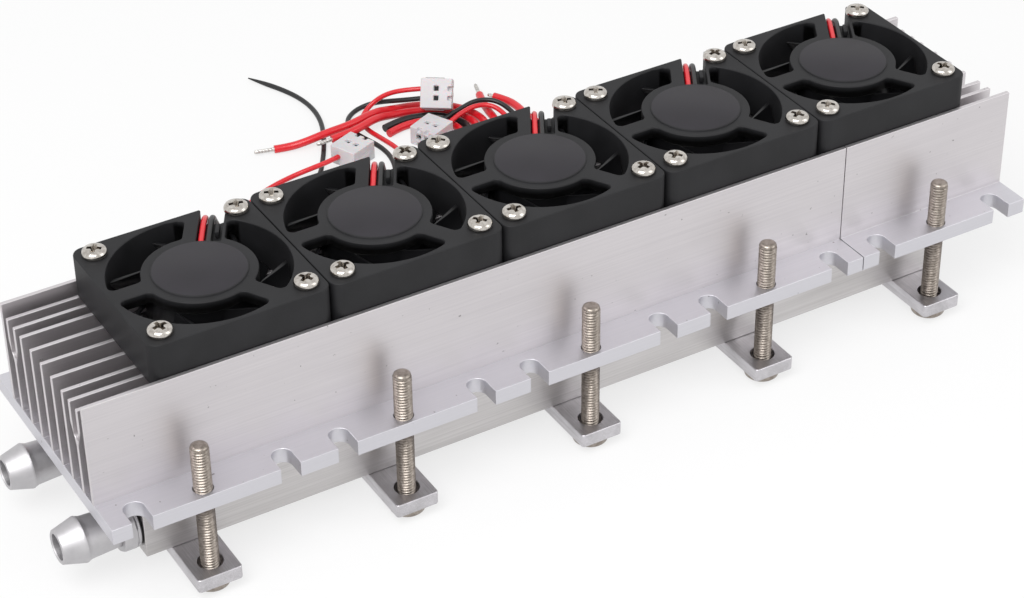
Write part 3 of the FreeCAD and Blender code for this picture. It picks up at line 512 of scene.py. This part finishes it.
finishes = {
    "sink": extruded(
        "sinkAluminium", tone=(0.668, 0.640, 0.652), dark=(0.585, 0.560, 0.575), rough=0.40,
        pits=0.7, foot=24.6,
    ),
    "block": extruded(
        "blockAluminium", tone=(0.64, 0.62, 0.62), dark=(0.46, 0.445, 0.44), rough=0.36, pits=0.4,
    ),
    "barb": turnedMetal(
        "barbAluminium", tone=(0.58, 0.57, 0.58), dark=(0.44, 0.43, 0.445), rough=0.44, ring=0.22, axis="X",
    ),
    "bar": brushed("barSteel", tone=(0.70, 0.68, 0.71), dark=(0.40, 0.39, 0.40), rough=0.30),
    "bolt": plated("boltNickel", tone=(0.41, 0.365, 0.325), dark=(0.21, 0.182, 0.158), rough=0.24),
    "screw": plated("screwNickel", tone=(0.64, 0.61, 0.57), dark=(0.38, 0.35, 0.32), rough=0.09),
    "fan": moulded(
        "fanPlastic", tone=(0.008, 0.008, 0.009), light=(0.013, 0.013, 0.0145), rough=0.52,
        Specular_IOR_Level=0.30,
    ),
    "label": moulded(
        "labelFilm", tone=(0.017, 0.0155, 0.019), light=(0.021, 0.019, 0.0235), rough=0.50,
        grain=0.5, depth=0.010, Specular_IOR_Level=0.32,
    ),
    "impeller": moulded(
        "impellerPlastic", tone=(0.004, 0.004, 0.0045), light=(0.007, 0.007, 0.008), rough=0.28,
        Specular_IOR_Level=0.35,
    ),
    "plug": moulded(
        "plugNylon", tone=(0.54, 0.525, 0.54), light=(0.60, 0.585, 0.60), rough=0.34, grain=0.4,
        Subsurface_Weight=0.25, Subsurface_Scale=0.002,
    ),
    "red": insulation(
        "redInsulation", tone=(0.72, 0.012, 0.020), shade=(0.55, 0.006, 0.016), rough=0.26, gloss=0.25,
    ),
    "black": insulation(
        "blackInsulation", tone=(0.006, 0.006, 0.007), shade=(0.003, 0.003, 0.0035), rough=0.34, gloss=0.05,
    ),
    "wire": plated("tinnedWire", tone=(0.72, 0.70, 0.67), dark=(0.42, 0.40, 0.38), rough=0.24),
    "solder": plated("solder", tone=(0.80, 0.80, 0.80), dark=(0.60, 0.60, 0.60), rough=0.16),
    "rubber": moulded(
        "sealRubber", tone=(0.012, 0.012, 0.012), light=(0.022, 0.022, 0.022), rough=0.5,
        grain=0.2, depth=0.01,
    ),
    "cell": cellPlates(),
    "motor": windings(),
    "brass": turnedMetal(
        "bearingBrass", tone=(0.72, 0.52, 0.22), dark=(0.58, 0.40, 0.16), rough=0.22, ring=0.3, axis="Z",
    ),
    # near-black painted shade, set into the plugs' windows and mouths
    "paintedShade": moulded("paintedShadeFill", tone=(0.004, 0.004, 0.004), light=(0.008, 0.008, 0.008), rough=0.7),
}
for node, lead in leads.items():
    lead.data.materials.append(finishes["red" if "red" in node else "black"])
print("finishes mixed:", len(finishes))


# Modelling helpers

merging = {  # points nearer than this become one, in millimetres
    "lathe": 0.0005,
    "cut": 0.0005,
    "thread": 0.002,
    "solid": 0.002,
    "piece": 0.0001,
}
easing = {
    "segments": 2,
    "sharp": 32,  # edges that turn by more degrees than this are broken
    "flat": 0.4,  # those that turn by fewer are taken out first
    "combFacing": 0.99,
    "faceHeight": 56.3,  # a fan frame's front face and the low rim on it lie above this
    "rimHeight": 56.5,
    "rimShare": 0.3,
    "webUnder": (53.7, 53.9),
    "faceWeight": 60,
}


def toMesh(name, shape):
    mesh = bpy.data.meshes.new(name)
    shape.to_mesh(mesh)
    shape.free()
    return mesh


def lathe(profile, steps):  # (radius, height) pairs turned about the Z axis
    shape = bmesh.new()
    spots = [shape.verts.new((radius, 0, height)) for radius, height in profile]
    edges = [shape.edges.new(pair) for pair in zip(spots, spots[1:])]
    bmesh.ops.spin(
        shape, geom=spots + edges, cent=(0, 0, 0), axis=(0, 0, 1), dvec=(0, 0, 0),
        angle=2 * math.pi, steps=steps, use_merge=True,
    )
    bmesh.ops.remove_doubles(shape, verts=shape.verts, dist=merging["lathe"])
    return shape


def block(size, ease=0.0):
    shape = bmesh.new()
    bmesh.ops.create_cube(shape, size=1)
    bmesh.ops.scale(shape, vec=size, verts=shape.verts)
    if ease:
        bmesh.ops.bevel(
            shape, geom=shape.edges[:], offset=ease, offset_type="OFFSET", affect="EDGES",
            segments=2, profile=0.5, material=-1,
        )
    return shape


def prism(sides, radius, low, high, taper=1.0):
    shape = bmesh.new()
    bmesh.ops.create_cone(
        shape, cap_ends=True, segments=sides, radius1=radius * taper, radius2=radius, depth=high - low,
        matrix=Matrix.Translation((0, 0, (low + high) / 2)),
    )
    return shape


def turned(degrees, axis="Z"):
    return Matrix.Rotation(math.radians(degrees), 4, axis)


def moved(shape, place):
    bmesh.ops.transform(shape, matrix=place, verts=shape.verts)
    return shape


def joined(shapes):
    whole = bmesh.new()
    for shape in shapes:
        mesh = toMesh("part", shape)
        whole.from_mesh(mesh)
        bpy.data.meshes.remove(mesh)
    return whole


def repeated(shape, places):
    mesh = toMesh("pattern", shape)
    whole = bmesh.new()
    for place in places:
        before = len(whole.verts)
        whole.from_mesh(mesh)
        bmesh.ops.transform(whole, matrix=place, verts=whole.verts[before:])
    bpy.data.meshes.remove(mesh)
    return whole


def evaluatedMesh(item):
    return bpy.data.meshes.new_from_object(item.evaluated_get(bpy.context.evaluated_depsgraph_get()))


def sunk(shape, cutters):  # cuts each cutter out of the shape
    blank = placed("blank", toMesh("blank", shape))
    for cutter in cutters:
        tool = placed("cutter", toMesh("cutter", cutter))
        cut = blank.modifiers.new("cut", "BOOLEAN")
        cut.operation = "DIFFERENCE"
        cut.solver = "EXACT"
        cut.object = tool
        cutMesh = evaluatedMesh(blank)
        blank.modifiers.clear()
        blank.data = cutMesh
        bpy.data.objects.remove(tool)
    result = bmesh.new()
    result.from_mesh(blank.data)
    bpy.data.objects.remove(blank)
    return result


def trim(shape, point, away):  # takes off what lies beyond a plane, and closes the cut
    cut = bmesh.ops.bisect_plane(
        shape, geom=shape.verts[:] + shape.edges[:] + shape.faces[:], dist=merging["cut"],
        plane_co=point, plane_no=away, clear_outer=True,
    )
    rim = [item for item in cut["geom_cut"] if isinstance(item, bmesh.types.BMEdge)]
    bmesh.ops.holes_fill(shape, edges=rim, sides=0)


def setPiece(name, shape, finish, body="root", stands=()):  # a mesh that rides on a body
    for face in shape.faces:
        face.smooth = True
    piece = placed(name, toMesh(name, shape))
    piece.data.materials.append(finish)
    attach(piece, body)
    if stands:
        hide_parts(*stands)
    return piece


def addPiece(name, shape, finish, stands=(), crease=38):  # a new shape, in millimetres
    bmesh.ops.scale(shape, vec=(mm, mm, mm), verts=shape.verts)
    bmesh.ops.remove_doubles(shape, verts=shape.verts, dist=merging["piece"] * mm)
    bmesh.ops.recalc_face_normals(shape, faces=shape.faces)
    for edge in shape.edges:
        edge.smooth = len(edge.link_faces) == 2 and edge.calc_face_angle(0) < math.radians(crease)
    return setPiece(name, shape, finish, stands=stands)


def easeShare(node, edge):  # how much of the break an edge gets
    angle = edge.calc_face_angle(0) if len(edge.link_faces) == 2 else 0
    if angle <= math.radians(easing["sharp"]):
        return 0
    if node.startswith("fan_frame"):  # its low label rim gets less, and the thin webs under it none
        low, high = sorted(vert.co.z / mm for vert in edge.verts)
        if low > easing["faceHeight"]:
            convexShare = easing["rimShare"] if high > easing["rimHeight"] else 1
            return convexShare if edge.is_convex else 0
        if easing["webUnder"][0] < low and high < easing["webUnder"][1]:
            return 0
    return 1


def eased(node, finish, width, body="root"):  # the solid with its edges broken
    shape = bmesh.new()
    shape.from_mesh(nodes[node].data)
    bmesh.ops.remove_doubles(shape, verts=shape.verts, dist=merging["solid"] * mm)
    inner = [edge for edge in shape.edges if len(edge.link_faces) == 2]
    flat = [edge for edge in inner if edge.calc_face_angle(1) < math.radians(easing["flat"])]
    if node.startswith("heat_sink"):  # the comb-shaped ends stay divided
        flat = [edge for edge in flat if abs(edge.link_faces[0].normal.x) < easing["combFacing"]]
    bmesh.ops.dissolve_edges(shape, edges=flat, use_verts=True)
    share = shape.edges.layers.float.new("bevel_weight_edge")
    for edge in shape.edges:
        edge[share] = easeShare(node, edge)
    piece = setPiece(pieceName(node), shape, finish, body, [node])
    bevel = piece.modifiers.new("edge", "BEVEL")
    bevel.affect = "EDGES"
    bevel.limit_method = "WEIGHT"
    bevel.width = width * mm
    bevel.segments = easing["segments"]
    bevel.profile = 0.5
    bevel.use_clamp_overlap = False
    bevel.miter_outer = "MITER_ARC"
    shade = piece.modifiers.new("shade", "WEIGHTED_NORMAL")
    shade.keep_sharp = True
    shade.weight = easing["faceWeight"]


def refinish(node, finish):
    for slot in nodes[node].material_slots:
        slot.material = finish


# Heat sinks, water block, clamp bars and cooling elements
edgeBreaks = {"sink": 0.12, "block": 0.25, "bar": 0.25, "frame": 0.28, "impeller": 0.10, "plug": 0.22}
for node in ("heat_sink_long", "heat_sink_short"):
    eased(node, finishes["sink"], edgeBreaks["sink"])
eased("water_block", finishes["block"], edgeBreaks["block"])
for number in range(1, 6):
    eased("clamp_bar_%d" % number, finishes["bar"], edgeBreaks["bar"])
    refinish("cooling_element_%d" % number, finishes["cell"])
print("metal body dressed")

# Clamp bolts with rolled threads
bolt = {
    "x": (-90.0375, -44.4125, 1.2125, 46.8375, 94.05),
    "y": 27.0,
    "pitch": 0.7,
    "root": 1.68,
    "crest": 2.0,
    "ridge": [("root", 0), ("root", 0.12), ("crest", 0.46), ("crest", 0.60), ("root", 0.94), ("root", 1.0)],
    "threadStart": 3.2,
    "threadEnd": 34.9,
    "stepsPerTurn": 20,
    "head": [  # radius, height
        (0, 0), (3.0, 0), (3.45, 0.12), (3.85, 0.5), (4.0, 0.95),
        (4.0, 2.35), (3.88, 2.5), (1.9, 2.5), (1.9, 3.3), (0, 3.3),
    ],
    "headSteps": 40,
    "socketAcross": 2.5,
    "socketSpan": (-1, 1.3),  # from outside the head to the socket's floor
    "tip": 35.5,
    "point": [  # radius, distance back from the tip
        (0, 0.9), (1.86, 0.9), (1.86, 0.5), (1.74, 0.26), (1.35, 0.03), (1.1, 0), (0, 0),
    ],
    "pointSteps": 32,
}


def threaded():
    low, high, pitch, steps = (bolt[key] for key in ("threadStart", "threadEnd", "pitch", "stepsPerTurn"))
    shape = bmesh.new()
    spots = [shape.verts.new((bolt[level], 0, low - pitch + part * pitch)) for level, part in bolt["ridge"]]
    edges = [shape.edges.new(pair) for pair in zip(spots, spots[1:])]
    turns = math.ceil((high - low) / pitch) + 2
    bmesh.ops.spin(
        shape, geom=spots + edges, cent=(0, 0, 0), axis=(0, 0, 1), dvec=(0, 0, pitch / steps),
        angle=2 * math.pi * turns, steps=steps * turns, use_merge=False,
    )
    bmesh.ops.remove_doubles(shape, verts=shape.verts, dist=merging["thread"])
    trim(shape, (0, 0, low), (0, 0, -1))
    trim(shape, (0, 0, high), (0, 0, 1))
    return shape


def makeBolts():
    socket = prism(6, bolt["socketAcross"] / math.sqrt(3), *bolt["socketSpan"])
    head = sunk(lathe(bolt["head"], bolt["headSteps"]), [socket])
    point = lathe([(radius, bolt["tip"] - back) for radius, back in bolt["point"]], bolt["pointSteps"])
    places = [Matrix.Translation((x, side * bolt["y"], 0)) for x in bolt["x"] for side in (-1, 1)]
    whole = repeated(joined([head, threaded(), point]), places)
    addPiece("clampBolts", whole, finishes["bolt"], stands=["clamp_bolts"], crease=50)


makeBolts()
print("bolts cut")

# Hose barbs
barb = {
    "tip": -117.45,
    "z": 11.7,
    "y": {"front": -14.0, "rear": 14.0},
    "profile": [  # radius, distance in from the tip
        (2.9, 24.0), (2.9, 0.25), (3.05, 0.02), (3.45, 0.0), (3.72, 0.16), (4.93, 4.55), (5.0, 4.75),
        (5.0, 5.1), (4.9, 5.25), (4.66, 5.95), (4.6, 6.15), (4.25, 12.6), (4.25, 15.6), (5.4, 15.65),
        (5.55, 15.8), (5.55, 16.15), (5.4, 16.3), (4.0, 16.35), (4.0, 23.8), (2.9, 24.0),
    ],
    "collar": [(4.3, 12.6), (5.35, 12.6), (5.7, 12.9), (5.7, 15.3), (5.35, 15.6), (4.3, 15.6), (4.3, 12.6)],
    "steps": 72,
    "acrossFlats": 10.6,
}


def makeBarbs():
    for name, y in barb["y"].items():
        collar = lathe(barb["collar"], barb["steps"])
        for flat in range(6):
            around = math.radians(60 * flat + 30)
            away = Vector((math.cos(around), math.sin(around), 0))
            trim(collar, away * barb["acrossFlats"] / 2, away)
        place = Matrix.Translation((barb["tip"], y, barb["z"])) @ turned(90, "Y")  # the lathe's Z along +X
        whole = moved(joined([lathe(barb["profile"], barb["steps"]), collar]), place)
        addPiece(
            "hoseBarb" + name.capitalize(), whole, finishes["barb"],
            stands=["hose_barb_" + name], crease=28,
        )
        refinish("barb_seal_" + name, finishes["rubber"])


makeBarbs()
print("barbs turned")

# Fans
fan = {
    "x": [-75.35 + 40.2 * k for k in range(5)],
    "top": 56.4,
    "label": [(0, 0.2), (9.75, 0.2), (9.75, 0.26), (9.71, 0.29), (0, 0.29)],  # radius, height above the top
    "labelSteps": 96,
    "channelTurn": 60.0,
    "channelDepth": 2.0,
}
solderBead = {
    "reach": 10.35,
    "across": (-0.8, 0.75),  # under the red lead and the black one
    "height": 0.80,
    "radius": 0.42,
    "stretch": (1.5, 0.8, 0.7),
    "splay": 18,
}
leadHook = {"reach": 15.6, "across": 2.35, "height": 0.95, "size": (3.4, 0.9, 1.5), "ease": 0.2}


def alongChannel(x, reach, across, height):  # a place in a fan's cable channel
    turn = math.radians(fan["channelTurn"])
    return Matrix.Translation((
        x + reach * math.cos(turn) + across * math.sin(turn),
        reach * math.sin(turn) - across * math.cos(turn),
        fan["top"] - fan["channelDepth"] + height,
    ))


def makeLabel(x):
    profile = [(radius, fan["top"] + rise) for radius, rise in fan["label"]]
    return moved(lathe(profile, fan["labelSteps"]), Matrix.Translation((x, 0, 0)))


def makeSolder(x):
    beads = []
    for across in solderBead["across"]:
        bead = bmesh.new()
        bmesh.ops.create_uvsphere(bead, u_segments=16, v_segments=10, radius=solderBead["radius"])
        bmesh.ops.scale(bead, vec=solderBead["stretch"], verts=bead.verts)
        place = alongChannel(x, solderBead["reach"], across, solderBead["height"])
        beads.append(moved(bead, place @ turned(fan["channelTurn"] - solderBead["splay"] * across)))
    return joined(beads)


def makeHook(x):
    place = alongChannel(x, leadHook["reach"], leadHook["across"], leadHook["height"])
    return moved(block(leadHook["size"], leadHook["ease"]), place @ turned(fan["channelTurn"]))


def makeFans():
    for number, x in enumerate(fan["x"], 1):
        eased("fan_frame_%d" % number, finishes["fan"], edgeBreaks["frame"])
        eased(
            "fan_impeller_%d" % number, finishes["impeller"], edgeBreaks["impeller"],
            body="impeller_%d" % number,
        )
        refinish("fan_motor_%d" % number, finishes["motor"])
        addPiece("fanLabel%d" % number, makeLabel(x), finishes["label"])
        addPiece("fanSolder%d" % number, makeSolder(x), finishes["solder"])
        addPiece("fanLeadHook%d" % number, makeHook(x), finishes["fan"])
    refinish("fan_bearings", finishes["brass"])


makeFans()
print("fans dressed")

# Fan screws with cross recesses
screw = {
    "corner": 16.0,
    "profile": [  # radius, height above the frame's top
        (0, -15.9), (0.9, -15.9), (1.3, -15.2), (1.3, 0), (2.55, 0), (2.66, 0.10), (2.7, 0.34), (2.68, 0.72),
        (2.58, 1.04), (2.36, 1.32), (2.02, 1.51), (1.55, 1.62), (0.9, 1.68), (0.4, 1.7), (0, 1.7),
    ],
    "steps": 40,
    "headTop": 1.7,
    "wing": (4.2, 1.0, 1.45),  # length, width and depth of the recess
    "wingFloor": (0.5, 0.7, 1),  # shares of that at its floor
    "well": {"sides": 16, "radius": 1.05, "low": 0.395, "high": 2.4, "taper": 0.45},
    "turns": (12, 55, 31, 78, 5, 64, 40, 22, 83, 49, 16, 71, 36, 58, 27, 9, 44, 66, 19, 52),
}


def crossCutters():
    wings = []
    length, width, depth = screw["wing"]
    for turn in (0, 90):
        wing = block((length, width, depth * 2))
        floor = [vert for vert in wing.verts if vert.co.z < 0]
        bmesh.ops.scale(wing, vec=screw["wingFloor"], verts=floor)
        wings.append(moved(wing, Matrix.Translation((0, 0, screw["headTop"])) @ turned(turn)))
    return wings + [prism(**screw["well"])]


def makeScrews():
    shape = sunk(lathe(screw["profile"], screw["steps"]), crossCutters())
    ways = (-screw["corner"], screw["corner"])
    spots = [(x + dx, dy, fan["top"]) for x in fan["x"] for dx in ways for dy in ways]
    places = [Matrix.Translation(spot) @ turned(turn) for spot, turn in zip(spots, screw["turns"])]
    addPiece(
        "fanScrews", repeated(shape, places), finishes["screw"],
        stands=["fan_screws"], crease=42,
    )


makeScrews()
print("screws cut")

# Plugs, with dark blocks of painted shade in their windows and in the mouths over their contacts
plug = {
    "places": [(7.25, 100.6, 2.6, 22, 0), (36.51, 111.7, 6.95, -35, 55), (36.45, 101.4, 2.6, 205, 0)],
    "pitch": 2.5,
    # dark blocks of painted shade, one in each window and mouth
    "paintedShadeBlocks": [((1.1, 1.1, 0.1), 4.1, 1.92), ((0.6, 1.3, 1.3), 6.8, 0)],  # size, distance along, height
}


def makePaintedShade(x, y, z, heading, roll):
    paintedShadeBlocks = []
    for way in (-1, 1):
        for size, along, height in plug["paintedShadeBlocks"]:
            paintedShadeBlocks.append(moved(block(size), Matrix.Translation((along, way * plug["pitch"] / 2, height))))
    return moved(joined(paintedShadeBlocks), Matrix.Translation((x, y, z)) @ (turned(heading) @ turned(roll, "X")))


def makePlugs():
    for number, place in enumerate(plug["places"], 1):
        eased("fan_plug_%d" % number, finishes["plug"], edgeBreaks["plug"])
        # dark blocks of painted shade in the plug's windows and mouths
        addPiece("plugPaintedShade%d" % number, makePaintedShade(*place), finishes["paintedShade"])


makePlugs()
print("plugs made")

# Bare wire ends: seven strands twisted together
strand = {
    "radius": 0.52,
    "lobes": 7,
    "depth": 0.13,
    "spots": 42,
    "twistPerMm": 62.0,
    "stepsPerMm": 4,
    "fewestSteps": 6,
    "endLength": 0.3,
    "endScale": (0.82, 0.82, 1),
}


def makeBareTip(node, length):
    shape = bmesh.new()
    bmesh.ops.create_circle(shape, cap_ends=True, segments=strand["spots"], radius=strand["radius"])
    for vert in shape.verts:
        around = math.atan2(vert.co.y, vert.co.x)
        groove = strand["depth"] * (0.5 - 0.5 * math.cos(strand["lobes"] * around))
        bmesh.ops.scale(shape, vec=(1 - groove,) * 3, verts=[vert])
    steps = max(strand["fewestSteps"], int(length * strand["stepsPerMm"]))
    bmesh.ops.spin(
        shape, geom=shape.verts[:] + shape.edges[:] + shape.faces[:], cent=(0, 0, 0), axis=(0, 0, 1),
        dvec=(0, 0, length / steps), angle=math.radians(strand["twistPerMm"] * length), steps=steps,
        use_duplicate=False,
    )
    end = [vert for vert in shape.verts if vert.co.z > length - strand["endLength"]]
    bmesh.ops.scale(shape, vec=strand["endScale"], verts=end)
    before, last = (Vector(point) / mm for point in leadRoutes[node][-2:])
    onward = (last - before).to_track_quat("Z", "Y").to_matrix().to_4x4()
    whole = moved(shape, Matrix.Translation(last) @ onward)
    return addPiece(pieceName(node) + "Tip", whole, finishes["wire"], crease=70)


def lengthOf(lead):  # along the middle of its curve
    line = lead.data.copy()
    line.bevel_depth = 0
    probe = placed("probe", line)
    middle = evaluatedMesh(probe).vertices
    bpy.data.objects.remove(probe)
    return sum((a.co - b.co).length for a, b in zip(middle, middle[1:]))


tips = {node: makeBareTip(node, length) for node, length in leadMake["bareTips"].items()}
for node, lead in leads.items():
    carried = [tips[node]] if node in tips else []
    carried += [bpy.data.objects[pieceName(name)] for name in leadMake["plugs"].get(node, [])]
    lengthOf(lead)


# Floor, light and backdrop
studio = {
    "floorTone": (0.80, 0.80, 0.80),
    "floorSize": 6,
    "floorDrop": 0.0001,
    "floorWhite": 0.72,  # share of plain white in the floor that is seen
    "fill": 0.66,
    "aim": (0, 0, 0.03),
    "lamps": {  # position, size, power
        "keyLamp": ((-0.5, -0.35, 0.8), (0.7, 0.7), 8.0),
        "sideLamp": ((0.6, -0.6, 0.5), (0.5, 0.8), 1.8),
    },
}


def makeFloor():
    shape = bmesh.new()
    bmesh.ops.create_grid(shape, x_segments=1, y_segments=1, size=studio["floorSize"])
    bmesh.ops.translate(shape, vec=(0, 0, -studio["floorDrop"]), verts=shape.verts)
    floor = placed("floor", toMesh("floor", shape))
    tone = (*studio["floorTone"], 1)
    finish = Finish("floorPaper", Roughness=0.9, Specular_IOR_Level=0.1, Base_Color=tone)
    paper = Signal(finish, finish.shader.outputs[0])
    white = finish.add("ShaderNodeEmission", None, {"Color": (1, 1, 1, 1), "Strength": 1.0})
    shown = finish.seen() * studio["floorWhite"]
    above = finish.add("ShaderNodeMixShader", None, {0: shown, 1: paper, 2: white})
    under = finish.add("ShaderNodeNewGeometry", output="Backfacing")  # clear from under the floor
    clear = finish.add("ShaderNodeBsdfTransparent")
    whole = finish.add("ShaderNodeMixShader", None, {0: under, 1: above, 2: clear})
    finish.tree.links.new(whole.socket, finish.tree.nodes["Material Output"].inputs["Surface"])
    floor.data.materials.append(finish.material)


def makeSky():
    world = bpy.data.worlds.new("studio")
    bpy.context.scene.world = world
    world.use_nodes = True
    sky = Wiring(world.node_tree)
    sockets = {"Value": sky.seen(), "To Min": studio["fill"], "To Max": 1.0}
    level = sky.add("ShaderNodeMapRange", None, sockets)
    background = sky.tree.nodes["Background"]
    background.inputs["Color"].default_value = (1, 1, 1, 1)
    sky.tree.links.new(level.socket, background.inputs["Strength"])


def makeLamps():
    for name, (position, size, power) in studio["lamps"].items():
        data = bpy.data.lights.new(name, "AREA")
        data.shape = "RECTANGLE"
        data.size, data.size_y = size
        data.energy = power
        lamp = placed(name, data)
        lamp.location = position
        lamp.rotation_mode = "QUATERNION"
        lamp.rotation_quaternion = (Vector(position) - Vector(studio["aim"])).to_track_quat("Z", "Y")


makeFloor()
makeSky()
makeLamps()
bpy.context.scene.view_settings.view_transform = "Standard"
print("studio set")
